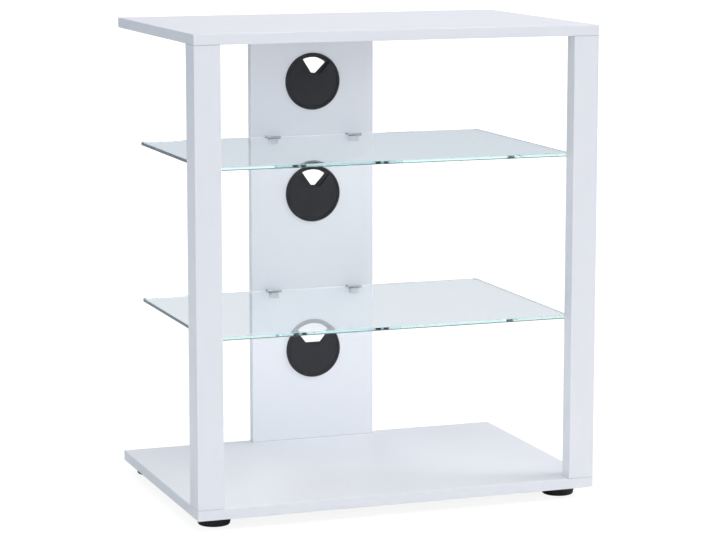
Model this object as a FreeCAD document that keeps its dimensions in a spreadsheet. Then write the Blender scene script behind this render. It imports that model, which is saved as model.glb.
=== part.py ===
import FreeCAD, Part
import math
import os
import Sketcher
from FreeCAD import Placement, Rotation, Vector

# White stand with a top and a base board, two front posts, a narrow back panel
# with three cable grommets, and two glass shelves. Origin at the bottom centre,
# +X to the right, +Y to the back, +Z up, millimetres.

doc = FreeCAD.newDocument("tv_stand")

SIZES = (
    ("stand_width", 600, "overall, left to right"),
    ("stand_depth", 400, "overall, front to back"),
    ("board_thick", 15, "top, base and rear panel"),
    ("board_round", 0.8, "softened board edges"),
    ("bottom_bay", 232, "clear height over the base"),
    ("middle_bay", 232, "clear height over the lower shelf"),
    ("top_bay", 170, "clear height over the upper shelf"),
    ("cut_over", 1, "overrun of every through cut"),
    ("post_width", 38, "front face of a post"),
    ("post_depth", 40, "outer side of a post"),
    ("post_round", 1, "softened post edges"),
    ("rebate_width", 13, "rear inner step of a post, across"),
    ("rebate_depth", 15, "the same step, front to back"),
    ("panel_width", 197, "rear panel"),
    ("grommet_drop_top", 87.5, "hole centre under the top board"),
    ("grommet_drop_middle", 85, "hole centre under the upper shelf"),
    ("grommet_drop_bottom", 91.5, "hole centre under the lower shelf"),
    ("glass_thick", 5, "both shelves"),
    ("glass_front_gap", 4, "glass to the front of the rebate"),
    ("glass_side_gap", 2.5, "glass to the side of the rebate"),
    ("glass_corner", 3, "corner radius seen from above"),
    ("glass_arris", 0.5, "polished edge bevel"),
    ("flange_width", 87, "outer diameter of a grommet"),
    ("flange_lap", 3.5, "flange beyond the panel hole, radial"),
    ("flange_thick", 2.5, "flange in front of the panel"),
    ("flange_round", 1.2, "rounded front rim"),
    ("tube_fit", 0.3, "tube to the panel hole, radial"),
    ("tube_depth", 14, "tube behind the flange"),
    ("tube_wall", 2.9, "tube wall"),
    ("rib_fit", 0.1, "grip rib to the panel hole"),
    ("rib_width", 2, "grip rib across"),
    ("rib_length", 10, "grip rib along the tube"),
    ("rib_start", 2, "grip rib behind the flange"),
    ("cap_seat", 2, "cap on the end of the tube, radial"),
    ("cap_thick", 2.6, "cap disc"),
    ("cap_sunk", 0.4, "cap face behind the flange face"),
    ("cap_fit", 0.2, "cap to its recess, radial"),
    ("cap_round", 0.4, "cap rim"),
    ("wide_floor", 24, "flat end of the wide wedge"),
    ("wide_rise", 11, "flat end over the centre"),
    ("narrow_floor", 7, "flat end of the narrow wedge"),
    ("narrow_rise", 13, "flat end over the centre"),
    ("wedge_slope_share", 0.8, "side widening of both wedges per height"),
    ("boss_width", 8, "boss on the back of the cap"),
    ("boss_fit", 0.05, "shutter on its boss, radial"),
    ("boss_grip", 0.8, "snap head beyond the boss, radial"),
    ("boss_head", 1.2, "snap head along the axis"),
    ("shutter_thick", 2.4, "shutter disc"),
    ("shutter_fit", 0.4, "shutter to the tube, radial"),
    ("shutter_gap", 0.3, "free play before and behind the shutter"),
    ("shutter_rim", 1.4, "stiffening rim and hub on its back"),
    ("shutter_rim_rise", 1.2, "height of rim and hub"),
    ("shutter_hub", 15, "hub diameter"),
    ("top_turn", -6.5, "rest turn of the top shutter in degrees"),
    ("middle_turn", -3.5, "rest turn of the middle shutter"),
    ("bottom_turn", 180, "rest turn of the bottom shutter"),
    ("clamp_inset", 33.5, "clamp centre from the side of the rear panel"),
    ("jaw_width", 22, "upper jaw across"),
    ("jaw_reach", 13, "upper jaw over the glass"),
    ("jaw_thick", 1.6, "upper jaw"),
    ("jaw_round", 3, "upper jaw corners"),
    ("upper_pad_thick", 0.4, "pad under the upper jaw"),
    ("upper_pad_margin", 1.5, "pad inside the jaw outline"),
    ("web_thick", 1, "clamp web behind the glass"),
    ("clamp_width", 11.5, "clamp body under the glass"),
    ("clamp_reach", 12, "clamp body, front to back"),
    ("clamp_drop", 10, "clamp body below the glass"),
    ("clamp_gap", 0.3, "clamp body to the glass"),
    ("clamp_round", 1.5, "clamp body edges"),
    ("lower_pad_width", 7.2, "round pad under the glass"),
    ("lower_pad_seat", 1.2, "depth of its seat"),
    ("pad_fit", 0.2, "pad in its seat, radial"),
    ("plug_width", 5, "plug of clamps and brackets"),
    ("plug_length", 12, "clamp plug in the panel"),
    ("plug_fit", 0.05, "plug in its hole, radial"),
    ("plug_end_gap", 0.5, "space past a plug or screw end"),
    ("grip_screw_width", 4, "screw under the glass"),
    ("grip_screw_length", 8, "the same screw"),
    ("grip_socket", 2, "its hexagon socket, across corners"),
    ("socket_depth", 2, "depth of hexagon sockets"),
    ("screw_fit", 0.05, "screws in their holes, radial"),
    ("bracket_width", 12, "post bracket, front to back"),
    ("bracket_reach", 8.5, "bracket under the glass"),
    ("bracket_plate", 1.5, "bracket plate"),
    ("bracket_back", 1.2, "bracket back against the post"),
    ("bracket_drop", 12, "bracket below the glass"),
    ("bracket_plug_length", 10, "plug in the post"),
    ("bracket_pad", 0.5, "clear pad on the bracket"),
    ("bracket_pad_margin", 0.5, "pad inside the plate outline"),
    ("bracket_round", 1.5, "bracket corners"),
    ("foot_width", 50, "foot at its top"),
    ("foot_sole", 45, "foot on the floor"),
    ("foot_rise", 16, "foot height"),
    ("foot_wall", 2.5, "side wall"),
    ("foot_floor", 3, "sole thickness"),
    ("foot_hub", 12, "screw hub"),
    ("foot_round", 2, "lower rim"),
    ("foot_rib", 1.5, "stiffening rib thickness"),
    ("foot_rib_rise", 6, "rib height over the sole"),
    ("foot_rib_bite", 0.4, "rib sunk into hub and wall"),
    ("foot_inset_side", 36, "foot centre from the side"),
    ("foot_inset_front", 45, "foot centre from the front"),
    ("foot_inset_back", 30, "foot centre from the back"),
    ("foot_screw_width", 4, "foot screw shank"),
    ("foot_screw_head", 8, "foot screw head"),
    ("foot_screw_sunk", 1, "head above the floor"),
    ("foot_screw_cone", 2, "height of the head"),
    ("foot_screw_length", 25, "foot screw"),
    ("foot_screw_fit", 0.2, "screw in the foot, radial"),
    ("base_screw_width", 7, "connecting screw shank"),
    ("base_screw_core", 5.2, "its threaded part"),
    ("base_screw_head", 10, "its countersunk head"),
    ("base_screw_cone", 1.5, "height of the head cone"),
    ("base_screw_shank", 12, "length up to the threaded part"),
    ("base_screw_length", 50, "connecting screw"),
    ("base_screw_socket", 4.6, "its hexagon socket, across corners"),
    ("point_length", 3, "screw points"),
    ("dowel_width", 8, "wooden dowel"),
    ("dowel_length", 30, "wooden dowel"),
    ("dowel_fit", 0.05, "dowel in its hole, radial"),
    ("dowel_in_board", 10, "dowel depth in top and base"),
    ("dowel_bevel", 1, "dowel ends"),
    ("cam_width", 15, "cam disc"),
    ("cam_depth", 12.2, "cam disc"),
    ("cam_fit", 0.1, "cam in its bore, radial"),
    ("cam_bore_depth", 12.5, "bore for the cam"),
    ("cam_axis_depth", 7.5, "bolt axis behind the bored face"),
    ("cam_drop", 34, "cam centre under the top board"),
    ("cam_mouth", 7.4, "opening for the bolt head"),
    ("cam_slot_length", 8, "driver slot"),
    ("cam_slot_width", 1.4, "driver slot"),
    ("cam_slot_depth", 1.6, "driver slot"),
    ("cam_bolt_core", 5, "bolt part in the top board"),
    ("cam_bolt_bite", 11, "its depth in the top board"),
    ("cam_bolt_collar", 7, "collar under the top board"),
    ("cam_bolt_collar_rise", 3, "collar height"),
    ("cam_bolt_stem", 4.5, "bolt shank"),
    ("cam_bolt_head", 6.4, "bolt head"),
    ("cam_bolt_head_rise", 2.5, "head height"),
    ("cam_bolt_past", 2, "head end past the cam centre"),
    ("cam_bolt_bore", 8, "bolt hole in post and panel"),
    ("panel_far_inset", 28.5, "screws and cams from the side of the rear panel"),
    ("panel_near_inset", 68.5, "dowels from the side of the rear panel"),
)


class Size:
    """A length with its number and the sheet expression that gives it."""

    def __init__(self, text, number):
        self.text = text
        self.number = number

    def join(self, sign, other, number):
        return Size("(%s %s %s)" % (self.text, sign, text_of(other)), number)

    def __add__(self, other):
        return self.join("+", other, self.number + number_of(other))

    def __sub__(self, other):
        return self.join("-", other, self.number - number_of(other))

    def __mul__(self, other):
        return self.join("*", other, self.number * number_of(other))

    def __truediv__(self, other):
        return self.join("/", other, self.number / number_of(other))

    def __neg__(self):
        return self * -1


def text_of(value):
    return value.text if isinstance(value, Size) else str(value)


def number_of(value):
    return value.number if isinstance(value, Size) else value


def fill_sheet(rows):
    sheet = doc.addObject("Spreadsheet::Sheet", "Sizes")
    named = {}
    for row, (alias, number, note) in enumerate(rows, 1):
        sheet.set("A%d" % row, alias)
        sheet.set("B%d" % row, str(number))
        sheet.set("C%d" % row, note)
        sheet.setAlias("B%d" % row, alias)
        named[alias] = Size("Sizes." + alias, float(number))
    doc.recompute()
    return named


class Named:
    def __init__(self, named):
        self.__dict__.update(named)


v = Named(fill_sheet(SIZES))

# Levels and faces that several pieces share
deck = v.foot_rise + v.board_thick
lower_glass = deck + v.bottom_bay
upper_glass = lower_glass + v.glass_thick + v.middle_bay
top_level = upper_glass + v.glass_thick + v.top_bay
upright = top_level - deck
front = -v.stand_depth / 2
back = v.stand_depth / 2
panel_face = back - v.board_thick
rebate_side = v.post_width - v.rebate_width
rebate_front = v.post_depth - v.rebate_depth
glass_width = v.stand_width - (rebate_side + v.glass_side_gap) * 2
glass_front = front + rebate_front + v.glass_front_gap
glass_back = panel_face - v.web_thick
bracket_line = v.post_depth - v.rebate_depth / 2
bracket_plug_drop = v.bracket_drop / 2
clamp_plug_drop = v.clamp_drop / 2
clamp_place = v.panel_width / 2 - v.clamp_inset
grommet_bore = v.flange_width - v.flange_lap * 2
grommet_levels = {
    "top": top_level - v.grommet_drop_top,
    "middle": upper_glass - v.grommet_drop_middle,
    "bottom": lower_glass - v.grommet_drop_bottom,
}

# Fixing spots as distances from the centre plane and places front to back
post_front_spot = (v.stand_width / 2 - v.post_width / 2, front + rebate_front / 2)
post_rear_spot = (v.stand_width / 2 - rebate_side / 2, front + v.post_depth - v.cam_axis_depth)
panel_far_spot = (v.panel_width / 2 - v.panel_far_inset, back - v.board_thick / 2)
panel_near_spot = (v.panel_width / 2 - v.panel_near_inset, back - v.board_thick / 2)
foot_front_spot = (v.stand_width / 2 - v.foot_inset_side, front + v.foot_inset_front)
foot_rear_spot = (v.stand_width / 2 - v.foot_inset_side, back - v.foot_inset_back)


def both_sides(*spots):
    return [(x * side, y) for x, y in spots for side in (-1, 1)]


def bind(feature, name, value):
    feature.setExpression(name, text_of(value))


def move(item, x, y, z, turn=Rotation()):
    item.Placement = Placement(Vector(), turn)
    for axis, value in (("x", x), ("y", y), ("z", z)):
        bind(item, "Placement.Base." + axis, value)


# Sketches on the origin planes of a body
def draw(body, name, plane="XY_Plane", level=0):
    sketch = body.newObject("Sketcher::SketchObject", name)
    planes = [item for item in body.Origin.OriginFeatures if item.Role == plane]
    sketch.AttachmentSupport = [(planes[0], "")]
    sketch.MapMode = "FlatFace"
    bind(sketch, "AttachmentOffset.Base.z", level)
    return sketch


def tie(sketch, kind, where, value):
    index = sketch.addConstraint(Sketcher.Constraint(kind, *where, number_of(value)))
    sketch.setExpression("Constraints[%d]" % index, text_of(value))


def pin_point(sketch, item, end, x, y):
    for kind, value, axis in (("DistanceX", x, -2), ("DistanceY", y, -1)):
        if isinstance(value, Size):
            tie(sketch, kind, (-1, 1, item, end), value)
        else:
            sketch.addConstraint(Sketcher.Constraint("PointOnObject", item, end, axis))


def outline(sketch, points):
    corners = [Vector(number_of(x), number_of(y), 0) for x, y in points]
    ends = corners[1:] + corners[:1]
    lines = [sketch.addGeometry(Part.LineSegment(a, b)) for a, b in zip(corners, ends)]
    for place, (x, y) in enumerate(points):
        joint = (lines[place - 1], 2, lines[place], 1)
        sketch.addConstraint(Sketcher.Constraint("Coincident", *joint))
        pin_point(sketch, lines[place], 1, x, y)
    return sketch


def rectangle(sketch, low_x, low_y, high_x, high_y):
    corners = [(low_x, low_y), (high_x, low_y), (high_x, high_y), (low_x, high_y)]
    return outline(sketch, corners)


def circles(sketch, spots, width):
    for x, y in spots:
        centre = Vector(number_of(x), number_of(y), 0)
        ring = Part.Circle(centre, Vector(0, 0, 1), number_of(width) / 2)
        item = sketch.addGeometry(ring)
        pin_point(sketch, item, 3, x, y)
        tie(sketch, "Diameter", (item,), width)
    return sketch


def hexagon(sketch, across):
    corners = []
    for step in range(6):
        turn = math.radians(60 * step)
        corners.append((across * round(math.cos(turn) / 2, 6), across * round(math.sin(turn) / 2, 6)))
    return outline(sketch, corners)


# Features of a body
def new_body(label):
    return doc.addObject("PartDesign::Body", label)


def pad(body, name, sketch, length, down=False):
    feature = body.newObject("PartDesign::Pad", name)
    feature.Profile = sketch
    feature.Reversed = down
    bind(feature, "Length", length)
    return feature


def pocket(body, name, sketch, depth, forward=False):
    feature = body.newObject("PartDesign::Pocket", name)
    feature.Profile = sketch
    feature.Reversed = forward
    bind(feature, "Length", depth)
    return feature


def revolve(body, name, points):
    sketch = outline(draw(body, name + "_profile", "XZ_Plane"), points)
    feature = body.newObject("PartDesign::Revolution", name)
    feature.Profile = sketch
    feature.ReferenceAxis = (sketch, ["V_Axis"])
    return feature


def ring_pattern(body, name, feature, count):
    pattern = body.newObject("PartDesign::PolarPattern", name)
    pattern.Originals = [feature]
    spin = [item for item in body.Origin.OriginFeatures if item.Role == "Z_Axis"]
    pattern.Axis = (spin[0], [""])
    pattern.Occurrences = count
    body.Tip = pattern
    return pattern


def soften(body, name, size, wanted, kind="Fillet"):
    doc.recompute()
    base = body.Tip
    picked = [
        "Edge%d" % number
        for number, edge in enumerate(base.Shape.Edges, 1)
        if wanted(edge)
    ]
    feature = body.newObject("PartDesign::" + kind, name)
    feature.Base = (base, picked)
    bind(feature, "Radius" if kind == "Fillet" else "Size", size)
    return feature


def is_upright(edge):
    box = edge.BoundBox
    return box.ZLength > max(box.XLength, box.YLength) * 2


def rim_at(radius, level):
    # Picks full circles of one radius at one height of a body
    def wanted(edge):
        if not isinstance(edge.Curve, Part.Circle):
            return False
        near_radius = abs(edge.Curve.Radius - radius.number) < v.rib_fit.number / 2
        return near_radius and abs(edge.Curve.Center.z - number_of(level)) < v.rib_fit.number / 2

    return wanted


pieces = []


def finish(item):
    pieces.append(item)
    return item


def group(label, master, spots):
    # Identical pieces in one node, each its own solid: x, y, z and turn
    links = []
    for number, (x, y, z, turn) in enumerate(spots, 1):
        link = doc.addObject("App::Link", "%s_%d" % (label, number))
        link.LinkedObject = master
        move(link, x, y, z, turn)
        links.append(link)
    whole = doc.addObject("Part::Compound", label)
    whole.Links = links
    return finish(whole)


# Boards
def top_panel():
    body = new_body("top_panel")
    half_width = v.stand_width / 2
    half_depth = v.stand_depth / 2
    sheet = rectangle(draw(body, "sheet"), -half_width, -half_depth, half_width, half_depth)
    pad(body, "board", sheet, v.board_thick)
    soften(body, "soft_edges", v.board_round, lambda edge: True)
    dowels = both_sides(post_front_spot, panel_near_spot)
    seats = circles(draw(body, "dowel_spots"), dowels, v.dowel_width + v.dowel_fit * 2)
    pocket(body, "dowel_holes", seats, v.dowel_in_board + v.plug_end_gap, forward=True)
    bolts = both_sides(post_rear_spot, panel_far_spot)
    seats = circles(draw(body, "bolt_spots"), bolts, v.cam_bolt_core + v.screw_fit * 2)
    pocket(body, "bolt_holes", seats, v.cam_bolt_bite + v.plug_end_gap, forward=True)
    move(body, 0, 0, top_level)
    return finish(body)


def base_panel():
    body = new_body("base_panel")
    half_width = v.stand_width / 2
    half_depth = v.stand_depth / 2
    sheet = rectangle(draw(body, "sheet"), -half_width, -half_depth, half_width, half_depth)
    pad(body, "board", sheet, v.board_thick)
    soften(body, "soft_edges", v.board_round, lambda edge: True)
    dowels = both_sides(post_rear_spot, panel_near_spot)
    face = draw(body, "dowel_spots", level=v.board_thick)
    seats = circles(face, dowels, v.dowel_width + v.dowel_fit * 2)
    pocket(body, "dowel_holes", seats, v.dowel_in_board + v.plug_end_gap)
    feet = both_sides(foot_front_spot, foot_rear_spot)
    seats = circles(draw(body, "foot_spots"), feet, v.foot_screw_width + v.screw_fit * 2)
    bite = v.foot_screw_sunk + v.foot_screw_length - v.foot_rise
    pocket(body, "foot_screw_holes", seats, bite + v.plug_end_gap, forward=True)
    doc.recompute()
    joints = both_sides(post_front_spot, panel_far_spot)
    through = v.base_screw_width + v.screw_fit * 2
    holes = body.newObject("PartDesign::Hole", "screw_holes")
    holes.Profile = circles(draw(body, "screw_spots"), joints, through)
    holes.DepthType = "ThroughAll"
    holes.Reversed = True
    holes.HoleCutType = "Countersink"
    holes.HoleCutCustomValues = True
    holes.HoleCutCountersinkAngle = 90
    bind(holes, "Diameter", through)
    bind(holes, "HoleCutDiameter", v.base_screw_head + v.screw_fit * 2)
    move(body, 0, 0, v.foot_rise)
    return finish(body)


# Front posts, rebated at the inner rear corner. side is 1 left and -1 right.
def post(label, side):
    body = new_body(label)
    section = [
        (0, 0),
        (v.post_width * side, 0),
        (v.post_width * side, rebate_front),
        (rebate_side * side, rebate_front),
        (rebate_side * side, v.post_depth),
        (0, v.post_depth),
    ]
    pad(body, "post", outline(draw(body, "section"), section), upright)
    soften(body, "soft_edges", v.post_round, is_upright)
    front_spot = [(v.post_width / 2 * side, rebate_front / 2)]
    rear_spot = [(rebate_side / 2 * side, v.post_depth - v.cam_axis_depth)]
    dowel_hole = v.dowel_width + v.dowel_fit * 2
    dowel_depth = v.dowel_length - v.dowel_in_board + v.plug_end_gap

    seats = circles(draw(body, "screw_spot"), front_spot, v.base_screw_core + v.screw_fit * 2)
    bite = v.base_screw_length - v.board_thick + v.plug_end_gap
    pocket(body, "screw_hole", seats, bite, forward=True)
    seats = circles(draw(body, "low_dowel_spot"), rear_spot, dowel_hole)
    pocket(body, "low_dowel_hole", seats, dowel_depth, forward=True)
    seats = circles(draw(body, "high_dowel_spot", level=upright), front_spot, dowel_hole)
    pocket(body, "high_dowel_hole", seats, dowel_depth)
    seats = circles(draw(body, "bolt_spot", level=upright), rear_spot, v.cam_bolt_bore)
    pocket(body, "bolt_hole", seats, v.cam_drop)

    cam_spot = [(rebate_side / 2 * side, upright - v.cam_drop)]
    face = draw(body, "cam_spot", "XZ_Plane", -v.post_depth)
    pocket(body, "cam_bore", circles(face, cam_spot, v.cam_width + v.cam_fit * 2), v.cam_bore_depth, True)

    plugs = [(bracket_line, level - deck - bracket_plug_drop) for level in (lower_glass, upper_glass)]
    face = draw(body, "bracket_spots", "YZ_Plane", rebate_side * side)
    seats = circles(face, plugs, v.plug_width + v.plug_fit * 2)
    pocket(body, "bracket_holes", seats, v.bracket_plug_length + v.plug_end_gap, forward=side < 0)
    move(body, v.stand_width / -2 * side, front, deck)
    return finish(body)


def rear_panel():
    body = new_body("rear_panel")
    half = v.panel_width / 2
    pad(body, "board", rectangle(draw(body, "section"), -half, 0, half, v.board_thick), upright)
    soften(body, "soft_edges", v.board_round, is_upright)
    centres = [(0, level - deck) for level in grommet_levels.values()]
    round_holes = circles(draw(body, "grommet_spots", "XZ_Plane", v.cut_over), centres, grommet_bore)
    pocket(body, "grommet_holes", round_holes, v.board_thick + v.cut_over * 2)

    levels = [level - deck - clamp_plug_drop for level in (lower_glass, upper_glass)]
    plugs = [(clamp_place * side, level) for side in (-1, 1) for level in levels]
    seats = circles(draw(body, "clamp_spots", "XZ_Plane"), plugs, v.plug_width + v.plug_fit * 2)
    pocket(body, "clamp_holes", seats, v.plug_length + v.plug_end_gap)

    middle = v.board_thick / 2
    far = [(panel_far_spot[0] * side, middle) for side in (-1, 1)]
    near = [(panel_near_spot[0] * side, middle) for side in (-1, 1)]
    dowel_hole = v.dowel_width + v.dowel_fit * 2
    dowel_depth = v.dowel_length - v.dowel_in_board + v.plug_end_gap
    seats = circles(draw(body, "screw_spots"), far, v.base_screw_core + v.screw_fit * 2)
    bite = v.base_screw_length - v.board_thick + v.plug_end_gap
    pocket(body, "screw_holes", seats, bite, forward=True)
    seats = circles(draw(body, "low_dowel_spots"), near, dowel_hole)
    pocket(body, "low_dowel_holes", seats, dowel_depth, forward=True)
    seats = circles(draw(body, "high_dowel_spots", level=upright), near, dowel_hole)
    pocket(body, "high_dowel_holes", seats, dowel_depth)
    seats = circles(draw(body, "bolt_spots", level=upright), far, v.cam_bolt_bore)
    pocket(body, "bolt_holes", seats, v.cam_drop)
    cams = [(x, upright - v.cam_drop) for x, y in far]
    face = draw(body, "cam_spots", "XZ_Plane", -v.board_thick)
    pocket(body, "cam_bores", circles(face, cams, v.cam_width + v.cam_fit * 2), v.cam_bore_depth, True)
    move(body, 0, panel_face, deck)
    return finish(body)


def glass_shelf(label, level):
    body = new_body(label)
    half = glass_width / 2
    pane = rectangle(draw(body, "pane_outline"), -half, glass_front, half, glass_back)
    pad(body, "pane", pane, v.glass_thick)
    soften(body, "corners", v.glass_corner, is_upright)
    soften(body, "arris", v.glass_arris, lambda edge: not is_upright(edge), "Chamfer")
    move(body, 0, 0, level)
    return finish(body)


# Cable grommets, drawn with z pointing out of the panel's front face
facing = Rotation(Vector(1, 0, 0), 90)
ledge = v.flange_thick - v.cap_sunk - v.cap_thick
shutter_front = ledge - v.shutter_gap
shutter_back = shutter_front - v.shutter_thick
hub_back = shutter_back - v.shutter_rim_rise
tube_radius = grommet_bore / 2 - v.tube_fit
mouth_radius = tube_radius - v.tube_wall
cap_radius = mouth_radius + v.cap_seat
shutter_radius = mouth_radius - v.shutter_fit


def grommet_ring(place):
    body = new_body(place + "_grommet_ring")
    recess = cap_radius + v.cap_fit
    rim = v.flange_width / 2
    profile = [
        (mouth_radius, -v.tube_depth),
        (tube_radius, -v.tube_depth),
        (tube_radius, 0),
        (rim, 0),
        (rim, v.flange_thick),
        (recess, v.flange_thick),
        (recess, ledge),
        (mouth_radius, ledge),
    ]
    revolve(body, "flanged_tube", profile)
    soften(body, "flange_rim", v.flange_round, rim_at(rim, v.flange_thick))
    grip = grommet_bore / 2 - v.rib_fit
    rib_root = tube_radius - v.tube_fit
    half = v.rib_width / 2
    rib = rectangle(draw(body, "rib_outline", level=-v.rib_start), rib_root, -half, grip, half)
    ring_pattern(body, "grip_ribs", pad(body, "grip_rib", rib, v.rib_length, down=True), 8)
    move(body, 0, panel_face, grommet_levels[place], facing)
    return finish(body)


def wedge(sketch, floor, rise, side):
    # Opening that widens from a flat end near the centre to past the rim
    top = v.flange_width / 2
    spread = floor / 2 + (top - rise) * v.wedge_slope_share
    points = [
        (-floor / 2, rise * side),
        (floor / 2, rise * side),
        (spread, top * side),
        (-spread, top * side),
    ]
    return outline(sketch, points)


def grommet_cap(place):
    body = new_body(place + "_grommet_cap")
    boss = v.boss_width / 2
    head = boss + v.boss_grip
    face = v.flange_thick - v.cap_sunk
    neck = hub_back - v.shutter_gap
    profile = [
        (0, face),
        (cap_radius, face),
        (cap_radius, ledge),
        (boss, ledge),
        (boss, neck),
        (head, neck),
        (boss, neck - v.boss_head),
        (0, neck - v.boss_head),
    ]
    revolve(body, "disc_with_boss", profile)
    soften(body, "cap_rim", v.cap_round, rim_at(cap_radius, face))
    notch = wedge(draw(body, "wedge_outline", level=face + v.cut_over), v.wide_floor, v.wide_rise, 1)
    pocket(body, "wedge_opening", notch, v.cap_thick + v.cut_over * 2)
    move(body, 0, panel_face, grommet_levels[place], facing)
    return finish(body)


def grommet_shutter(place, turn):
    body = new_body(place + "_grommet_shutter")
    hole = v.boss_width / 2 + v.boss_fit
    hub = v.shutter_hub / 2
    lip = shutter_radius - v.shutter_rim
    profile = [
        (hole, shutter_front),
        (shutter_radius, shutter_front),
        (shutter_radius, hub_back),
        (lip, hub_back),
        (lip, shutter_back),
        (hub, shutter_back),
        (hub, hub_back),
        (hole, hub_back),
    ]
    revolve(body, "rimmed_disc", profile)
    level = shutter_front + v.cut_over
    depth = v.shutter_thick + v.shutter_rim_rise + v.cut_over * 2
    notch = wedge(draw(body, "narrow_outline", level=level), v.narrow_floor, v.narrow_rise, 1)
    pocket(body, "narrow_notch", notch, depth)
    notch = wedge(draw(body, "wide_outline", level=level), v.wide_floor, v.wide_rise, -1)
    pocket(body, "wide_notch", notch, depth)
    rest = facing.multiply(Rotation(Vector(0, 0, 1), number_of(turn)))
    move(body, 0, panel_face, grommet_levels[place], rest)
    return finish(body)


# Clamps on the rear panel. z is 0 at the underside of the glass and y is 0 at the panel.
jaw_floor = v.glass_thick + v.upper_pad_thick
screw_line = -(v.web_thick + v.clamp_reach / 2)
seat_floor = -(v.clamp_gap + v.lower_pad_seat)


def glass_clamp(label, side, level):
    body = new_body(label)
    half_jaw = v.jaw_width / 2
    half_body = v.clamp_width / 2
    reach = -(v.web_thick + v.jaw_reach)
    jaw = rectangle(draw(body, "jaw_outline", level=jaw_floor), -half_jaw, reach, half_jaw, 0)
    pad(body, "jaw", jaw, v.jaw_thick)

    def front_corner(edge):
        return is_upright(edge) and edge.BoundBox.YMax < number_of(reach) / 2

    soften(body, "jaw_corners", v.jaw_round, front_corner)
    body_top = -v.clamp_gap
    web = rectangle(draw(body, "web_outline", level=body_top), -half_body, -v.web_thick, half_body, 0)
    pad(body, "web", web, jaw_floor + v.clamp_gap)
    reach = -(v.web_thick + v.clamp_reach)
    block = rectangle(draw(body, "block_outline", level=body_top), -half_body, reach, half_body, 0)
    pad(body, "block", block, v.clamp_drop - v.clamp_gap, down=True)

    def block_corner(edge):
        box = edge.BoundBox
        low = box.ZMax < number_of(body_top) + v.clamp_gap.number
        return is_upright(edge) and low and box.YMax < number_of(reach) / 2

    soften(body, "block_corners", v.clamp_round, block_corner)
    spot = [(0, -clamp_plug_drop)]
    plug = circles(draw(body, "plug_outline", "XZ_Plane"), spot, v.plug_width)
    pad(body, "plug", plug, v.plug_length, down=True)
    centre = [(0, screw_line)]
    seat = circles(draw(body, "seat_outline", level=body_top), centre, v.lower_pad_width + v.pad_fit * 2)
    pocket(body, "pad_seat", seat, v.lower_pad_seat)
    hole = circles(draw(body, "screw_outline", level=body_top), centre, v.grip_screw_width + v.screw_fit * 2)
    pocket(body, "screw_hole", hole, v.clamp_drop)
    move(body, clamp_place * side, panel_face, level)
    return finish(body)


def clamp_spots():
    return [
        (clamp_place * side, level)
        for level in (upper_glass, lower_glass)
        for side in (-1, 1)
    ]


def clamp_small_parts():
    straight = Rotation()
    screw = new_body("clamp_screw")
    radius = v.grip_screw_width / 2
    start = seat_floor - v.grip_screw_length
    bevel = v.grip_socket / 4
    profile = [
        (0, start),
        (radius - bevel, start),
        (radius, start + bevel),
        (radius, seat_floor - bevel),
        (radius - bevel, seat_floor),
        (0, seat_floor),
    ]
    revolve(screw, "stem", profile)
    socket = hexagon(draw(screw, "socket_outline", level=start), v.grip_socket)
    pocket(screw, "socket", socket, v.socket_depth, forward=True)
    spots = [(x, panel_face + screw_line, level, straight) for x, level in clamp_spots()]
    group("clamp_screws", screw, spots)

    lower = new_body("clamp_lower_pad")
    disc = circles(draw(lower, "disc_outline", level=seat_floor), [(0, 0)], v.lower_pad_width)
    pad(lower, "disc", disc, -seat_floor)
    group("clamp_lower_pads", lower, spots)

    upper = new_body("clamp_upper_pad")
    half = v.jaw_width / 2 - v.upper_pad_margin
    far = -(v.web_thick + v.jaw_reach - v.upper_pad_margin)
    near = -(v.web_thick + v.upper_pad_margin)
    leaf = rectangle(draw(upper, "leaf_outline", level=v.glass_thick), -half, far, half, near)
    pad(upper, "leaf", leaf, v.upper_pad_thick)
    spots = [(x, panel_face, level, straight) for x, level in clamp_spots()]
    group("clamp_upper_pads", upper, spots)


# Brackets in the post rebates. x points away from the wall they plug into.
def post_supports():
    bracket = new_body("post_shelf_support")
    half = v.bracket_width / 2
    top = -v.bracket_pad
    plate = rectangle(draw(bracket, "plate_outline", level=top), 0, -half, v.bracket_reach, half)
    pad(bracket, "plate", plate, v.bracket_plate, down=True)

    def front_corner(edge):
        return is_upright(edge) and edge.BoundBox.XMin > v.bracket_reach.number / 2

    soften(bracket, "plate_corners", v.bracket_round, front_corner)
    rear = rectangle(draw(bracket, "back_outline", level=top), 0, -half, v.bracket_back, half)
    pad(bracket, "back", rear, v.bracket_drop - v.bracket_pad, down=True)
    web_low = -v.bracket_drop / 2
    web_reach = v.bracket_reach - v.bracket_round
    plate_low = top - v.bracket_plate
    gusset = [(0, plate_low), (web_reach, plate_low), (v.bracket_back, web_low * 2), (0, web_low * 2)]
    half_web = v.bracket_plate / 2
    side = outline(draw(bracket, "gusset_outline", "XZ_Plane", -half_web), gusset)
    pad(bracket, "gusset", side, v.bracket_plate)
    spot = [(0, -bracket_plug_drop)]
    plug = circles(draw(bracket, "plug_outline", "YZ_Plane"), spot, v.plug_width)
    pad(bracket, "plug", plug, v.bracket_plug_length, down=True)

    cushion = new_body("post_shelf_pad")
    margin = v.bracket_pad_margin
    leaf = draw(cushion, "leaf_outline", level=top)
    rectangle(leaf, margin, -half + margin, v.bracket_reach - margin, half - margin)
    pad(cushion, "leaf", leaf, v.bracket_pad)

    wall = v.stand_width / 2 - rebate_side
    turned = Rotation(Vector(0, 0, 1), 180)
    line = front + bracket_line
    spots = []
    for level in (upper_glass, lower_glass):
        spots.append((-wall, line, level, Rotation()))
        spots.append((wall, line, level, turned))
    group("post_shelf_supports", bracket, spots)
    group("post_shelf_pads", cushion, spots)


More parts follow.
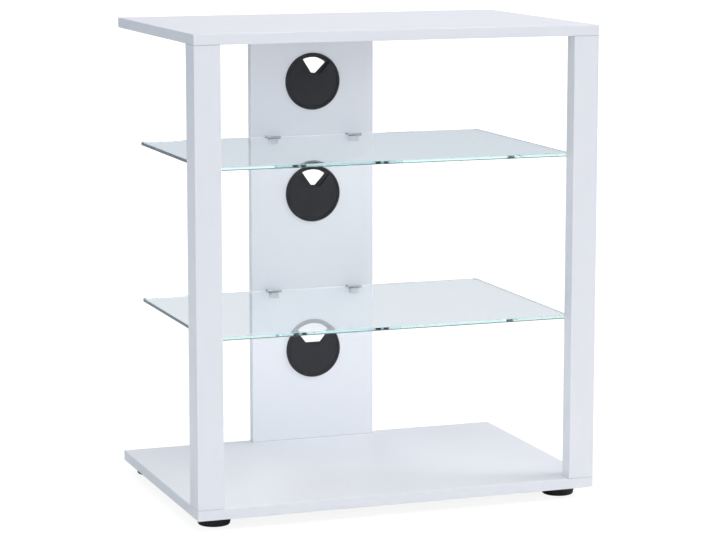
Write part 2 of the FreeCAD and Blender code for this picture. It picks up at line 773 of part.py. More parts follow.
# Feet
def foot(label, x, y):
    body = new_body(label)
    hole = v.foot_screw_width / 2 + v.foot_screw_fit
    recess = v.foot_screw_head / 2 + v.foot_screw_fit
    hub = v.foot_hub / 2
    sole = v.foot_sole / 2
    brim = v.foot_width / 2
    profile = [
        (recess, 0),
        (sole, 0),
        (brim, v.foot_rise),
        (brim - v.foot_wall, v.foot_rise),
        (sole - v.foot_wall, v.foot_floor),
        (hub, v.foot_floor),
        (hub, v.foot_rise),
        (hole, v.foot_rise),
        (hole, v.foot_screw_sunk + v.foot_screw_cone),
        (recess, v.foot_screw_sunk),
    ]
    revolve(body, "cup", profile)
    soften(body, "lower_rim", v.foot_round, rim_at(sole, 0))
    half = v.foot_rib / 2
    level = v.foot_floor - v.foot_rib_bite
    reach = sole - v.foot_wall + v.foot_rib_bite * 3
    rib = rectangle(draw(body, "rib_outline", level=level), hub - v.foot_rib_bite, -half, reach, half)
    rib_height = v.foot_rib_rise + v.foot_rib_bite
    ring_pattern(body, "ribs", pad(body, "rib", rib, rib_height), 6)
    move(body, x, y, 0)
    return finish(body)


def foot_screws():
    body = new_body("foot_screw")
    radius = v.foot_screw_width / 2
    end = v.foot_screw_length
    profile = [
        (0, 0),
        (v.foot_screw_head / 2, 0),
        (radius, v.foot_screw_cone),
        (radius, end - v.point_length),
        (0, end),
    ]
    revolve(body, "stem", profile)
    half_length = v.foot_screw_width / 2
    half_width = v.foot_screw_width / 8
    for name, wide, high in (("slot", half_length, half_width), ("cross_slot", half_width, half_length)):
        mark = rectangle(draw(body, name + "_outline"), -wide, -high, wide, high)
        pocket(body, name, mark, v.foot_screw_cone / 2, forward=True)
    spots = both_sides(foot_front_spot, foot_rear_spot)
    group("foot_screws", body, [(x, y, v.foot_screw_sunk, Rotation()) for x, y in spots])


# Connecting screws, dowels and cam fittings
def base_screws():
    body = new_body("base_screw")
    core = v.base_screw_core / 2
    shank = v.base_screw_width / 2
    end = v.base_screw_length
    profile = [
        (0, 0),
        (v.base_screw_head / 2, 0),
        (shank, v.base_screw_cone),
        (shank, v.base_screw_shank),
        (core, v.base_screw_shank),
        (core, end - v.point_length),
        (0, end),
    ]
    revolve(body, "stem", profile)
    socket = hexagon(draw(body, "socket_outline"), v.base_screw_socket)
    pocket(body, "socket", socket, v.socket_depth, forward=True)
    spots = both_sides(post_front_spot, panel_far_spot)
    group("base_screws", body, [(x, y, v.foot_rise, Rotation()) for x, y in spots])


def dowels():
    body = new_body("dowel")
    peg = circles(draw(body, "peg_outline"), [(0, 0)], v.dowel_width)
    pad(body, "peg", peg, v.dowel_length)

    def end_edge(edge):
        return isinstance(edge.Curve, Part.Circle)

    soften(body, "bevels", v.dowel_bevel, end_edge, "Chamfer")
    low = deck - v.dowel_in_board
    high = top_level - v.dowel_length + v.dowel_in_board
    spots = [(x, y, low, Rotation()) for x, y in both_sides(post_rear_spot, panel_near_spot)]
    spots += [(x, y, high, Rotation()) for x, y in both_sides(post_front_spot, panel_near_spot)]
    group("dowels", body, spots)


def cam_fittings():
    bolt = new_body("cam_bolt")
    core = v.cam_bolt_core / 2
    collar = v.cam_bolt_collar / 2
    stem = v.cam_bolt_stem / 2
    head = v.cam_bolt_head / 2
    end = -(v.cam_drop + v.cam_bolt_past)
    neck = end + v.cam_bolt_head_rise
    profile = [
        (0, v.cam_bolt_bite),
        (core, v.cam_bolt_bite),
        (core, 0),
        (collar, 0),
        (collar, -v.cam_bolt_collar_rise),
        (stem, -v.cam_bolt_collar_rise),
        (stem, neck),
        (head, neck),
        (head, end),
        (0, end),
    ]
    revolve(bolt, "stem", profile)
    spots = both_sides(post_rear_spot, panel_far_spot)
    group("cam_bolts", bolt, [(x, y, top_level, Rotation()) for x, y in spots])

    # The cam's z axis points out of the bored face
    cam = new_body("cam_disc")
    disc = circles(draw(cam, "disc_outline"), [(0, 0)], v.cam_width)
    pad(cam, "disc", disc, v.cam_depth, down=True)
    low = -(v.cam_bolt_past + v.cut_over)
    mouth = draw(cam, "mouth_outline", "XZ_Plane", v.cut_over + v.cam_bolt_past)
    circles(mouth, [(0, -v.cam_axis_depth)], v.cam_mouth)
    pocket(cam, "mouth", mouth, v.cam_width / 2 + v.cut_over - low)
    half_length = v.cam_slot_length / 2
    half_width = v.cam_slot_width / 2
    for name, wide, high in (("slot", half_length, half_width), ("cross_slot", half_width, half_length)):
        mark = rectangle(draw(cam, name + "_outline"), -wide, -high, wide, high)
        pocket(cam, name, mark, v.cam_slot_depth)
    # Facing back with the mouth up
    facing_back = Rotation(Vector(-1, 0, 0), Vector(0, 0, 1), Vector(0, 1, 0), "XYZ")
    level = top_level - v.cam_drop
    spots = [(x, y + v.cam_axis_depth, level, facing_back) for x, y in spots]
    group("cam_discs", cam, spots)


top_panel()
base_panel()
post("left_post", 1)
post("right_post", -1)
rear_panel()
glass_shelf("upper_glass_shelf", upper_glass)
glass_shelf("lower_glass_shelf", lower_glass)
for place, turn in (("top", v.top_turn), ("middle", v.middle_turn), ("bottom", v.bottom_turn)):
    grommet_ring(place)
    grommet_cap(place)
    grommet_shutter(place, turn)
for name, level in (("upper", upper_glass), ("lower", lower_glass)):
    glass_clamp("%s_left_glass_clamp" % name, -1, level)
    glass_clamp("%s_right_glass_clamp" % name, 1, level)
clamp_small_parts()
post_supports()
for name, spot in (("front", foot_front_spot), ("rear", foot_rear_spot)):
    foot("%s_left_foot" % name, -spot[0], spot[1])
    foot("%s_right_foot" % name, *spot)
foot_screws()
base_screws()
dowels()
cam_fittings()
doc.recompute()

# Nothing is written unless every object is sound and every cut removes something
for item in doc.Objects:
    if "Invalid" in item.State or "Error" in item.State:
        raise RuntimeError("%s failed: %s" % (item.Name, item.State))
for item in doc.Objects:
    if item.TypeId in ("PartDesign::Pocket", "PartDesign::Hole"):
        if item.Shape.Volume >= item.BaseFeature.Shape.Volume:
            raise RuntimeError("%s in %s cuts nothing" % (item.Name, item.getParentGeoFeatureGroup().Name))
os.makedirs("parts", exist_ok=True)
for piece in pieces:
    if piece.Shape.isNull() or not piece.Shape.isValid():
        raise RuntimeError("%s has no sound shape" % piece.Label)
for piece in pieces:
    piece.Shape.exportStep(os.path.join("parts", piece.Label + ".step"))
    solids = len(piece.Shape.Solids)
    print("%s: %d solids, %.1f cm3" % (piece.Label, solids, piece.Shape.Volume / 1000))
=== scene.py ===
import bmesh
import bpy
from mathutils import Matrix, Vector


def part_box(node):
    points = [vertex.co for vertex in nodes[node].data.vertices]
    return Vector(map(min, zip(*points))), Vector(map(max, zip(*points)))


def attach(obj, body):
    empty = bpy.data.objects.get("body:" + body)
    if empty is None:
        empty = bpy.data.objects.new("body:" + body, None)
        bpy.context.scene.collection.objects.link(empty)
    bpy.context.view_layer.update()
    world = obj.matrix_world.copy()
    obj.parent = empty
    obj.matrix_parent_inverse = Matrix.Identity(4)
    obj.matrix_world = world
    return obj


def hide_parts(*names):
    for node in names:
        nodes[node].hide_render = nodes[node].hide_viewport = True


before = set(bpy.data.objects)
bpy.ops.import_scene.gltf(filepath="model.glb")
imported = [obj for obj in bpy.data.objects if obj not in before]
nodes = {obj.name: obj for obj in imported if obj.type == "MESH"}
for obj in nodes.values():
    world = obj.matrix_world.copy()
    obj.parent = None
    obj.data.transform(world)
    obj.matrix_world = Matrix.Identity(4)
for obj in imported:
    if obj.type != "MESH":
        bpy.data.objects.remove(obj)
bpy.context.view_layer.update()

# White stand with two glass shelves. Metres, front towards -Y.
scene = bpy.context.scene
scene.view_settings.view_transform = "Standard"
print("frame loaded:", len(nodes), "parts")


# The camera stands at the photograph's angle and looks a little down
cameraSetup = {
    "place": (-1.279, -3.5645, 0.9258),
    "aim": (0.0073, 0.0, 0.3229),
    "lens": 130.6,
}


def turnTowards(thing, target):
    towards = Vector(target) - thing.location
    thing.rotation_euler = towards.to_track_quat("-Z", "Y").to_euler()


def addCamera(setup):
    data = bpy.data.cameras.new("viewCamera")
    data.lens = setup["lens"]
    camera = bpy.data.objects.new("viewCamera", data)
    scene.collection.objects.link(camera)
    camera.location = setup["place"]
    turnTowards(camera, setup["aim"])
    scene.camera = camera


addCamera(cameraSetup)
print("camera set")


# Shader maths: a Wire is one output socket, and sums on it add Math nodes
class Wire:
    def __init__(self, finish, socket):
        self.finish = finish
        self.socket = socket

    def maths(self, operation, *values, clamp=False):
        settings = {"operation": operation, "use_clamp": clamp}
        return self.finish.node("Math", settings, dict(enumerate(values)))

    def __add__(self, other):
        return self.maths("ADD", self, other)

    def __radd__(self, other):
        return self.maths("ADD", other, self)

    def __sub__(self, other):
        return self.maths("SUBTRACT", self, other)

    def __rsub__(self, other):
        return self.maths("SUBTRACT", other, self)

    def __mul__(self, other):
        return self.maths("MULTIPLY", self, other)

    def __rmul__(self, other):
        return self.maths("MULTIPLY", other, self)

    def __truediv__(self, other):
        return self.maths("DIVIDE", self, other)

    def __rtruediv__(self, other):
        return self.maths("DIVIDE", other, self)

    def __abs__(self):
        return self.maths("ABSOLUTE", self)

    def least(self, other):
        return self.maths("MINIMUM", self, other)

    def most(self, other):
        return self.maths("MAXIMUM", self, other)

    def above(self, limit, soft):
        # 0 below the limit, 1 past it, over a soft step
        return self.maths("ADD", (self - limit) / soft, 0.5, clamp=True)


# A new material, or the node tree that is handed over
class Finish:
    def __init__(self, name, tree=None):
        self.material = None
        if tree is None:
            self.material = bpy.data.materials.new(name)
            self.material.use_nodes = True
            tree = self.material.node_tree
        self.tree = tree
        self.tree.nodes.clear()

    def node(self, kind, settings=None, values=None, output=0):
        made = self.tree.nodes.new("ShaderNode" + kind)
        for name, setting in (settings or {}).items():
            setattr(made, name, setting)
        for name, value in (values or {}).items():
            if isinstance(value, Wire):
                self.tree.links.new(value.socket, made.inputs[name])
            else:
                made.inputs[name].default_value = value
        return Wire(self, made.outputs[output]) if made.outputs else None

    def objectPlace(self):
        return self.node("TexCoord", output="Object")

    def axes(self, place):
        split = self.node("SeparateXYZ", values={0: place})
        return [Wire(self, socket) for socket in split.socket.node.outputs]

    def noise(self, place, scale, detail=2.0, roughness=0.5):
        values = {"Vector": place, "Scale": scale, "Detail": detail, "Roughness": roughness}
        return self.node("TexNoise", values=values)

    def blend(self, factor, first, second):
        # Colours, by a factor that varies
        settings = {"data_type": "RGBA", "clamp_factor": True}
        return self.node("Mix", settings, {0: factor, 6: first, 7: second}, output=2)

    def bump(self, height, distance, strength):
        values = {"Height": height, "Distance": distance, "Strength": strength}
        return self.node("Bump", values=values)

    def principled(self, values):
        return self.node("BsdfPrincipled", values=values)

    def close(self, shader, volume=None):
        values = {"Surface": shader}
        if volume is not None:
            values["Volume"] = volume
        self.node("OutputMaterial", values=values)
        return self.material


def rgb(red, green, blue):
    return (red, green, blue, 1.0)


def dress(nodeName, material):
    # Own finish on a part that keeps its shape
    data = nodes[nodeName].data
    data.materials.clear()
    data.materials.append(material)


def addPiece(name, shape, *materials):
    mesh = bpy.data.meshes.new(name)
    shape.to_mesh(mesh)
    shape.free()
    for material in materials:
        mesh.materials.append(material)
    piece = bpy.data.objects.new(name, mesh)
    scene.collection.objects.link(piece)
    return piece


def roundEdges(shape, edges, offset, steps):
    bmesh.ops.bevel(
        shape, geom=edges, offset=offset, segments=steps,
        profile=0.5, affect="EDGES", material=-1,
    )


# Light, floor and background
studio = {
    "shade": rgb(0.14, 0.15, 0.17),          # soft light from all round
    "mirrored": rgb(0.325, 0.40, 0.507),     # plain wall that gloss shows
    "backdrop": rgb(1.0, 1.0, 1.0),
    "target": (0.0, 0.0, 0.35),              # all lamps point at it
    "softboxes": {                           # place, width, height, power, colour
        "frontLamp": ((-0.2, -8.0, 0.72), 4.7, 1.3, 66.0, (0.83, 0.915, 1.0)),
        "highFrontLamp": ((-0.2, -8.0, 1.5), 4.7, 3.0, 145.0, (0.925, 0.965, 1.0)),
        "topLamp": ((0.2, -0.6, 4.0), 2.6, 2.6, 92.0, (1.0, 0.955, 0.935)),
        "leftLamp": ((-4.2, -1.0, 1.6), 2.6, 2.6, 56.5, (0.76, 0.90, 1.0)),
        "rightLamp": ((4.2, -0.6, 2.8), 2.6, 2.6, 132.0, (0.97, 0.995, 1.0)),
        "rearLamp": ((0.4, 4.4, 0.9), 2.6, 1.7, 88.5, (0.995, 1.0, 1.0)),
        "highRearLamp": ((0.6, 3.8, 2.4), 2.6, 2.0, 28.5, (1.0, 0.89, 0.79)),
    },
    "unseen": ("rearLamp", "highRearLamp"),  # the glass doesn't show these
    "floorSize": 90.0,
    "floorColour": rgb(0.8, 0.8, 0.8),
    "floorGlow": 1.22,
    "floorShare": 0.72,                      # of the glow in what the camera sees
    "floorNear": 1.4,                        # past this radius the glow takes over
    "floorFar": 4.0,
}


def seenDirectly(finish):
    # 1 for what the camera sees, also through glass
    path = finish.node("LightPath", output="Is Camera Ray")
    through = finish.node("LightPath", output="Is Transmission Ray")
    return path.most(through)


def addBackground(setup):
    world = bpy.data.worlds.new("studio")
    scene.world = world
    world.use_nodes = True
    sky = Finish("studio", world.node_tree)
    room = sky.node("Background", values={"Color": setup["shade"]})
    wall = sky.node("Background", values={"Color": setup["mirrored"]})
    white = sky.node("Background", values={"Color": setup["backdrop"]})
    mirrored = sky.node("LightPath", output="Is Glossy Ray")
    both = sky.node("MixShader", values={0: mirrored, 1: room, 2: wall})
    whole = sky.node("MixShader", values={0: seenDirectly(sky), 1: both, 2: white})
    sky.node("OutputWorld", values={"Surface": whole})


def addLamps(setup):
    for name, (place, width, height, power, colour) in setup["softboxes"].items():
        lamp = bpy.data.lights.new(name, "AREA")
        lamp.shape = "RECTANGLE"
        lamp.size = width
        lamp.size_y = height
        lamp.energy = power
        lamp.color = colour
        softbox = bpy.data.objects.new(name, lamp)
        softbox.location = place
        turnTowards(softbox, setup["target"])
        softbox.visible_glossy = False       # gloss shows the plain wall instead
        softbox.visible_transmission = name not in setup["unseen"]
        scene.collection.objects.link(softbox)


def floorPaper(setup):
    # Matt, with a white glow for the camera that leaves the shadow in place
    paper = Finish("floorPaper")
    matt = paper.node("BsdfDiffuse", values={"Color": setup["floorColour"]})
    glowing = {"Color": setup["backdrop"], "Strength": setup["floorGlow"]}
    glow = paper.node("Emission", values=glowing)
    place = paper.objectPlace()
    radius = paper.node("VectorMath", {"operation": "LENGTH"}, {0: place}, output="Value")
    middle = (setup["floorNear"] + setup["floorFar"]) / 2
    away = radius.above(middle, setup["floorFar"] - setup["floorNear"])
    share = seenDirectly(paper) * (setup["floorShare"] + away * (1 - setup["floorShare"]))
    return paper.close(paper.node("MixShader", values={0: share, 1: matt, 2: glow}))


def addFloor(setup):
    shape = bmesh.new()
    size = setup["floorSize"] / 2
    bmesh.ops.create_grid(shape, x_segments=1, y_segments=1, size=size)
    floor = addPiece("studioFloor", shape, floorPaper(setup))


addBackground(studio)
addLamps(studio)
addFloor(studio)
print("light and floor set")


# White boards: foil on particle board, with edge bands
boardLook = {
    "foil": rgb(0.805, 0.805, 0.835),
    "foilCloud": rgb(0.792, 0.792, 0.824),
    "cloudScale": 7.0,
    "grainScale": 900.0,
    "rough": 0.30,
    "grainRough": 0.10,        # what the grain adds to it
    "cloudRough": 0.06,
    "bumpDepth": 0.00002,
    "bumpStrength": 0.5,
    "ior": 1.5,
    "seam": rgb(0.60, 0.62, 0.66),
    "seamShare": 0.5,
    "seamHalf": 0.00012,
    "bandEdge": 0.0011,        # seam of the edge band from the board's side
    "joint": rgb(0.30, 0.32, 0.36),
    "jointShare": 0.6,
    "jointRise": 0.0006,       # fine gap at the ends of posts and panel
    "jointSoft": 0.0003,
    "chip": rgb(0.50, 0.36, 0.22),
    "chipDark": rgb(0.26, 0.17, 0.09),
    "chipScale": 420.0,
    "chipHeight": 12.0,
    "coreRough": 0.5,          # what the open core adds
    "skin": 0.0012,            # past this depth a hole shows the core
    "skinSoft": 0.0002,
}


def boardFinish(nodeName, seamAxes, hasCore=True, upright=False):
    look = boardLook
    low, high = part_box(nodeName)
    finish = Finish(nodeName + "Foil")
    place = finish.objectPlace()
    # How deep a point lies under the board's outer faces, along each axis
    depths = []
    for axis, value in enumerate(finish.axes(place)):
        middle = (low[axis] + high[axis]) / 2
        half = (high[axis] - low[axis]) / 2
        depths.append(half - abs(value - middle))
    cloud = finish.noise(place, look["cloudScale"], detail=3.0)
    colour = finish.blend(cloud, look["foil"], look["foilCloud"])
    grain = finish.noise(place, look["grainScale"])
    rough = look["rough"] + grain * look["grainRough"] + cloud * look["cloudRough"]
    height = grain
    side = depths[seamAxes[0]]
    for axis in seamAxes[1:]:
        side = side.least(depths[axis])
    seam = 1 - abs(side - look["bandEdge"]).above(look["seamHalf"], look["seamHalf"])
    colour = finish.blend(seam * look["seamShare"], colour, look["seam"])
    if upright:
        end = 1 - depths[2].above(look["jointRise"], look["jointSoft"])
        colour = finish.blend(end * look["jointShare"], colour, look["joint"])
    if hasCore:
        depth = depths[0].least(depths[1]).least(depths[2])
        inside = depth.above(look["skin"], look["skinSoft"])
        cells = {"Vector": place, "Scale": look["chipScale"]}
        chips = finish.node("TexVoronoi", {"feature": "F1"}, cells, output="Color")
        chipTone = finish.axes(chips)[0]
        core = finish.blend(chipTone, look["chip"], look["chipDark"])
        colour = finish.blend(inside, colour, core)
        rough = rough + inside * look["coreRough"]
        height = height + inside * chipTone * look["chipHeight"]
    shader = finish.principled({
        "Base Color": colour,
        "Roughness": rough,
        "Normal": finish.bump(height, look["bumpDepth"], look["bumpStrength"]),
        "IOR": look["ior"],
    })
    return finish.close(shader)


dress("top_panel", boardFinish("top_panel", (0, 1)))
dress("base_panel", boardFinish("base_panel", (0, 1)))
dress("rear_panel", boardFinish("rear_panel", (0,), upright=True))
dress("left_post", boardFinish("left_post", (0, 1), hasCore=False, upright=True))
dress("right_post", boardFinish("right_post", (0, 1), hasCore=False, upright=True))
print("boards finished")


# Glass shelves: polished front and rear edges, dull ground sides and arrises; the ground faces
# carry a painted glow above and painted dark below and down the sides, and the front edge
# carries a painted dark line at its foot
paneLook = {
    "corner": 0.006,
    "cornerSteps": 6,
    "arris": 0.0005,
    "rearArris": 0.00012,                 # polished sharper
    "play": 0.00005,                      # clear of the pads and clamps
    "leaning": 0.1,                       # least lean of a ground face
    "level": 0.99,                        # past it a face is the pane's flat
    "ior": 1.52,
    "tint": rgb(0.95, 0.975, 0.975),
    "edgeTint": rgb(0.96, 0.99, 0.99),
    "paintedFootDark": rgb(0.05, 0.09, 0.085),   # painted dark reflection along the foot of the front edge
    "paintedFootDarkRise": 0.0014,
    "paintedFootDarkSoft": 0.0003,
    "frontSoft": 0.0005,
    "smearScale": 9.0,
    "smearFrom": 0.55,                    # weaker smears don't show
    "smearRough": 0.06,
    "depthTint": rgb(0.20, 0.90, 0.86),   # what a metre of it would let through
    "depthDensity": 1.0,
    "lampTint": rgb(0.985, 0.99, 0.99),
    # Painted glow of the upper arrises and flanks, and painted dark below it and down the sides
    "paintedEdgeGlow": rgb(0.70, 0.93, 0.92),
    "paintedEdgeDark": rgb(0.14, 0.22, 0.21),
    "paintedGlowTurn": (0.5, 0.2),              # share of the height where the painted glow takes over from the painted dark, and over how much
    "paintedSideDark": rgb(0.15, 0.19, 0.20),
    "paintedSideGlowTurn": (0.93, 0.08),
    "mirror": rgb(1.0, 1.0, 1.0),
    "streak": (1.0, 1.0, 40.0),
    "streakScale": 30.0,
    "streakShare": 0.3,
    "groundRough": 0.32,
    "streakRough": 0.15,
    "groundDepth": 0.00002,
    "groundBump": 0.4,
}
scene.cycles.max_bounces = 32             # light runs far inside the glass
scene.cycles.glossy_bounces = 24
scene.cycles.transmission_bounces = 24


def clearGlass(name, nodeName, look):
    low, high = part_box(nodeName)
    finish = Finish(name)
    place = finish.objectPlace()
    along, height = finish.axes(place)[1:]
    depth = (high.z - low.z) / 2 - abs(height - (low.z + high.z) / 2)
    onEdge = depth.above(look["arris"] / 2, look["arris"] / 4)
    onFront = 1 - along.above(low.y + look["corner"], look["frontSoft"])
    # Painted dark reflection: a dark line along the foot of the front edge
    paintedFootMask = 1 - height.above(low.z + look["paintedFootDarkRise"], look["paintedFootDarkSoft"])
    edge = finish.blend(onFront * paintedFootMask, look["edgeTint"], look["paintedFootDark"])
    smear = finish.noise(place, look["smearScale"], detail=3.0)
    shader = finish.principled({
        "Base Color": finish.blend(onEdge, look["tint"], edge),
        "Roughness": (smear - look["smearFrom"]).most(0.0) * look["smearRough"],
        "IOR": look["ior"],
        "Transmission Weight": 1.0,
    })
    # Lamps shine through it
    lampRay = finish.node("LightPath", output="Is Shadow Ray")
    through = finish.node("BsdfTransparent", values={"Color": look["lampTint"]})
    surface = finish.node("MixShader", values={0: lampRay, 1: shader, 2: through})
    absorbed = {"Color": look["depthTint"], "Density": look["depthDensity"]}
    volume = finish.node("VolumeAbsorption", values=absorbed)
    return finish.close(surface, volume)


def groundEdge(name, nodeName, look):
    # Dull from outside, with a painted glow on the upper arrises and painted dark on the lower
    # arrises and the sides, and a mirror to the light that runs inside the glass
    low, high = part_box(nodeName)
    corner = look["corner"]
    finish = Finish(name)
    place = finish.objectPlace()
    across, along, height = finish.axes(place)
    up = (height - low.z) / (high.z - low.z)
    side = (abs(across) - (high.x - corner)).above(0.0, corner / 2)
    # Painted glow on the upper part of the ground faces, painted dark on the lower part and down
    # the sides
    front = finish.blend(up.above(*look["paintedGlowTurn"]), look["paintedEdgeDark"], look["paintedEdgeGlow"])
    paintedFlank = finish.blend(up.above(*look["paintedSideGlowTurn"]), look["paintedSideDark"], look["paintedEdgeGlow"])
    streak = finish.node("Mapping", values={"Vector": place, "Scale": look["streak"]})
    cloud = finish.noise(streak, look["streakScale"], detail=3.0)
    colour = finish.blend(side, front, paintedFlank)
    colour = finish.blend(cloud * look["streakShare"], colour, look["paintedEdgeDark"])
    middle = (low.y + high.y) / 2
    reach = (high.y - low.y) / 2 - corner
    inCorner = (abs(along - middle) - reach).above(0.0, corner / 2)
    inside = finish.node("NewGeometry", output="Backfacing")
    mirror = inside * (1 - side * inCorner)
    rough = look["groundRough"] + cloud * look["streakRough"]
    shader = finish.principled({
        "Base Color": finish.blend(mirror, colour, look["mirror"]),
        "Metallic": mirror,
        "Roughness": rough * (1 - mirror),
        "Normal": finish.bump(cloud, look["groundDepth"], look["groundBump"]),
        "IOR": look["ior"],
    })
    return finish.close(shader)


def rise(edge):
    return abs(edge.verts[0].co.z - edge.verts[1].co.z)


def foremost(edge):
    return min(corner.co.y for corner in edge.verts)


def glassPane(name, nodeName, look):
    low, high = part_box(nodeName)
    play = Vector((look["play"], look["play"], look["play"]))
    size = high - low - 2 * play
    shape = bmesh.new()
    bmesh.ops.create_cube(shape, size=1.0)
    bmesh.ops.scale(shape, vec=size, verts=shape.verts)
    bmesh.ops.translate(shape, vec=(low + high) / 2, verts=shape.verts)
    corners = [e for e in shape.edges if rise(e) > size.z / 2]
    roundEdges(shape, corners, look["corner"], look["cornerSteps"])
    rear = high.y - 2 * look["play"]
    rims = [e for e in shape.edges if rise(e) < size.z / 2 and foremost(e) < rear]
    roundEdges(shape, rims, look["arris"], 1)
    rearEdges = [e for e in shape.edges if foremost(e) > rear]
    rearRims = [e for e in rearEdges if e.calc_length() > size.x / 2]
    roundEdges(shape, rearRims, look["rearArris"], 1)
    for face in shape.faces:
        isArris = look["leaning"] < abs(face.normal.z) < look["level"]
        isSide = abs(face.normal.x) > look["leaning"]
        face.material_index = 1 if isArris or isSide else 0
    clear = clearGlass(name + "Glass", nodeName, look)
    ground = groundEdge(name + "Edge", nodeName, look)
    piece = addPiece(name, shape, clear, ground)
    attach(piece, "stand")
    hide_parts(nodeName)


glassPane("upperPane", "upper_glass_shelf", paneLook)
glassPane("lowerPane", "lower_glass_shelf", paneLook)
print("glass shelves made")


# Moulded black plastic: what all of it shares, then the single pieces
plasticLook = {
    "wearScale": 60.0,
    "wearShare": 0.7,
    "wearGain": 1.5,           # worn places are paler by this factor
    "wearLift": 0.004,         # and by this much on top
    "wearRough": 0.12,
    "bumpStrength": 0.6,
    "ior": 1.5,
}
grommetLook = {
    "colour": rgb(0.012, 0.012, 0.0145),
    "rough": 0.38,
    "grainScale": 2200.0,
    "grainDepth": 0.00003,
}
footLook = {
    "colour": rgb(0.006, 0.006, 0.007),
    "rough": 0.5,
    "grainScale": 1500.0,
    "grainDepth": 0.00004,
}


def mouldedPlastic(name, look):
    shared = plasticLook
    finish = Finish(name)
    place = finish.objectPlace()
    grain = finish.noise(place, look["grainScale"], detail=3.0, roughness=0.6)
    wear = finish.noise(place, shared["wearScale"], detail=3.0)
    gain, lift = shared["wearGain"], shared["wearLift"]
    paler = rgb(*(part * gain + lift for part in look["colour"][:3]))
    shader = finish.principled({
        "Base Color": finish.blend(wear * shared["wearShare"], look["colour"], paler),
        "Roughness": look["rough"] + wear * shared["wearRough"],
        "Normal": finish.bump(grain, look["grainDepth"], shared["bumpStrength"]),
        "IOR": shared["ior"],
    })
    return finish.close(shader)


grommetPlastic = mouldedPlastic("grommetPlastic", grommetLook)
footPlastic = mouldedPlastic("footPlastic", footLook)
for level in ("top", "middle", "bottom"):
    for part in ("ring", "cap", "shutter"):
        dress(level + "_grommet_" + part, grommetPlastic)
for end in ("front", "rear"):
    for side in ("left", "right"):
        dress(end + "_" + side + "_foot", footPlastic)

# Near-black blocks between glass and rear panel, on both sides of each clamp: painted shade, a
# dark stand-in for the unlit gap there
gapShadeLook = {
    "near": 0.0059,            # from the middle of the clamp
    "far": 0.0103,
    "play": 0.00005,           # clear of the glass
    "round": 0.0002,
    "roundSteps": 2,
    # near black: painted shade of the gap behind the glass
    "colour": rgb(0.004, 0.004, 0.005),
    "rough": 0.55,
    "grainScale": 1800.0,
    "grainDepth": 0.00002,
}


def gapShadeBlocks(name, look):
    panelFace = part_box("rear_panel")[0].y
    shape = bmesh.new()
    for level in ("upper", "lower"):
        low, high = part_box(level + "_glass_shelf")
        depth = panelFace - high.y - look["play"]
        size = Vector((look["far"] - look["near"], depth, high.z - low.z))
        for side in ("left", "right"):
            clampLow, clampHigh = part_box(level + "_" + side + "_glass_clamp")
            for step in (-1, 1):
                x = (clampLow.x + clampHigh.x) / 2 + step * (look["far"] + look["near"]) / 2
                place = (x, panelFace - depth / 2, (low.z + high.z) / 2)
                block = bmesh.ops.create_cube(shape, size=1.0)["verts"]
                bmesh.ops.scale(shape, vec=size, verts=block)
                bmesh.ops.translate(shape, vec=place, verts=block)
    roundEdges(shape, list(shape.edges), look["round"], look["roundSteps"])
    piece = addPiece(name, shape, mouldedPlastic(name + "PaintedShade", look))
    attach(piece, "stand")


gapShadeBlocks("glassGapShade", gapShadeLook)
print("plastic finished")


# Metal: what all of it shares, then the plated clamps and the zinc fittings
metalLook = {
    "fineTimes": 9,                       # fine grain against the spangle
    "fineRough": 0.08,
    "cloudRough": 0.04,
    "bumpDepth": 0.00001,
    "bumpStrength": 0.4,
}
clampLook = {
    "bright": rgb(0.92, 0.94, 0.96),
    "dull": rgb(0.86, 0.88, 0.91),
    "rough": 0.06,
    "spangle": 120.0,
    "side": rgb(0.60, 0.61, 0.63),        # upright faces, darkened as painted shade
    "levelTurn": (0.6, 0.4),              # how level a bright face is, and over how much
    "wall": rgb(0.012, 0.012, 0.014),     # painted shade on the inner wall behind the glass
    "wallDepth": 0.0095,
    "wallSoft": 0.001,
    "plugHalf": 0.0025,                   # bright end of the plug in that wall
    "plugSoft": 0.0006,
}
zincLook = {
    "bright": rgb(0.62, 0.63, 0.66),
    "dull": rgb(0.46, 0.47, 0.50),
    "rough": 0.30,
    "spangle": 260.0,
}


def clampColourPaintedShade(finish, place, bright, look):
    # Plated colour on level faces, and painted shade: grey on the upright sides and dark on the
    # inner wall
    low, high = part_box("upper_right_glass_clamp")
    across, along = finish.axes(place)[:2]
    fromPlug = abs(abs(across) - (low.x + high.x) / 2)
    offPlug = fromPlug.above(look["plugHalf"], look["plugSoft"])
    inside = along.above(low.y + look["wallDepth"], look["wallSoft"]) * offPlug
    # Painted shade: grey upright faces, near-black inner wall behind the glass
    shadedSides = finish.blend(inside, look["side"], look["wall"])
    facing = finish.axes(finish.node("NewGeometry", output="Normal"))
    return finish.blend(abs(facing[2]).above(*look["levelTurn"]), shadedSides, bright)


def metalFinish(name, look, isClamp=False):
    shared = metalLook
    finish = Finish(name)
    place = finish.objectPlace()
    cloud = finish.noise(place, look["spangle"], detail=3.0)
    fine = finish.noise(place, look["spangle"] * shared["fineTimes"])
    colour = finish.blend(cloud, look["bright"], look["dull"])
    if isClamp:
        colour = clampColourPaintedShade(finish, place, colour, look)
    shader = finish.principled({
        "Base Color": colour,
        "Metallic": 1.0,
        "Roughness": look["rough"] + fine * shared["fineRough"] + cloud * shared["cloudRough"],
        "Normal": finish.bump(fine, shared["bumpDepth"], shared["bumpStrength"]),
    })
    return finish.close(shader)


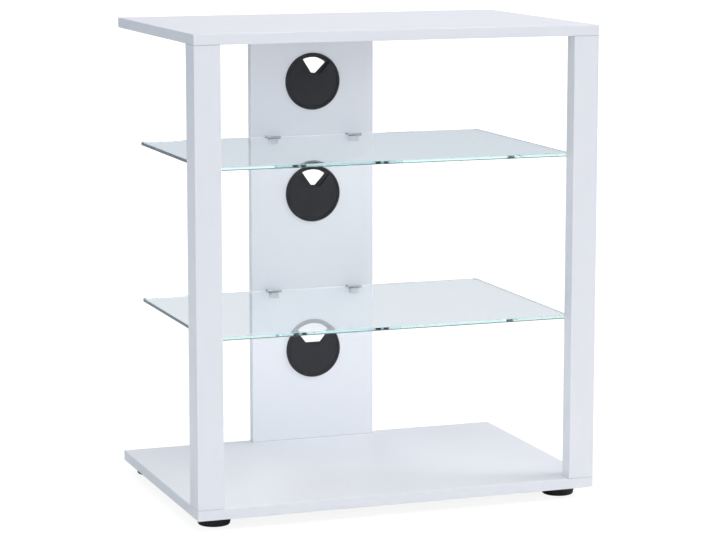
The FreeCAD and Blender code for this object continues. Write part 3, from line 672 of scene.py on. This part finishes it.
# Soft pads between metal and glass
padLook = {
    "pale": rgb(0.62, 0.64, 0.66),
    "dark": rgb(0.50, 0.52, 0.54),
    "cloudScale": 500.0,
    "rough": 0.45,
    "cloudRough": 0.15,
    "bumpDepth": 0.00002,
    "bumpStrength": 0.5,
    "clouded": 0.15,                      # share of the light that wanders inside
    "cloudedReach": (0.002, 0.002, 0.002),
}


def padFinish(look):
    finish = Finish("softPad")
    place = finish.objectPlace()
    cloud = finish.noise(place, look["cloudScale"])
    shader = finish.principled({
        "Base Color": finish.blend(cloud, look["pale"], look["dark"]),
        "Roughness": look["rough"] + cloud * look["cloudRough"],
        "Normal": finish.bump(cloud, look["bumpDepth"], look["bumpStrength"]),
        "Subsurface Weight": look["clouded"],
        "Subsurface Radius": look["cloudedReach"],
    })
    return finish.close(shader)


# Wooden dowels, with the grain along them
beechLook = {
    "pale": rgb(0.72, 0.53, 0.33),
    "dark": rgb(0.50, 0.33, 0.18),
    "grain": (900.0, 900.0, 60.0),
    "rough": 0.6,
    "grainRough": 0.2,
    "bumpDepth": 0.00006,
    "bumpStrength": 0.6,
}


def beechFinish(look):
    finish = Finish("beechDowel")
    place = finish.objectPlace()
    stretched = finish.node("Mapping", values={"Vector": place, "Scale": look["grain"]})
    grain = finish.noise(stretched, 1.0, detail=4.0, roughness=0.6)
    shader = finish.principled({
        "Base Color": finish.blend(grain, look["pale"], look["dark"]),
        "Roughness": look["rough"] + grain * look["grainRough"],
        "Normal": finish.bump(grain, look["bumpDepth"], look["bumpStrength"]),
    })
    return finish.close(shader)


plated = metalFinish("platedClamp", clampLook, isClamp=True)
zinc = metalFinish("zincSteel", zincLook)
pad = padFinish(padLook)
for level in ("upper", "lower"):
    for side in ("left", "right"):
        dress(level + "_" + side + "_glass_clamp", plated)
dress("post_shelf_supports", plated)
for part in ("clamp_screws", "foot_screws", "base_screws", "cam_bolts", "cam_discs"):
    dress(part, zinc)
for part in ("clamp_lower_pads", "clamp_upper_pads", "post_shelf_pads"):
    dress(part, pad)
dress("dowels", beechFinish(beechLook))
print("fittings finished")
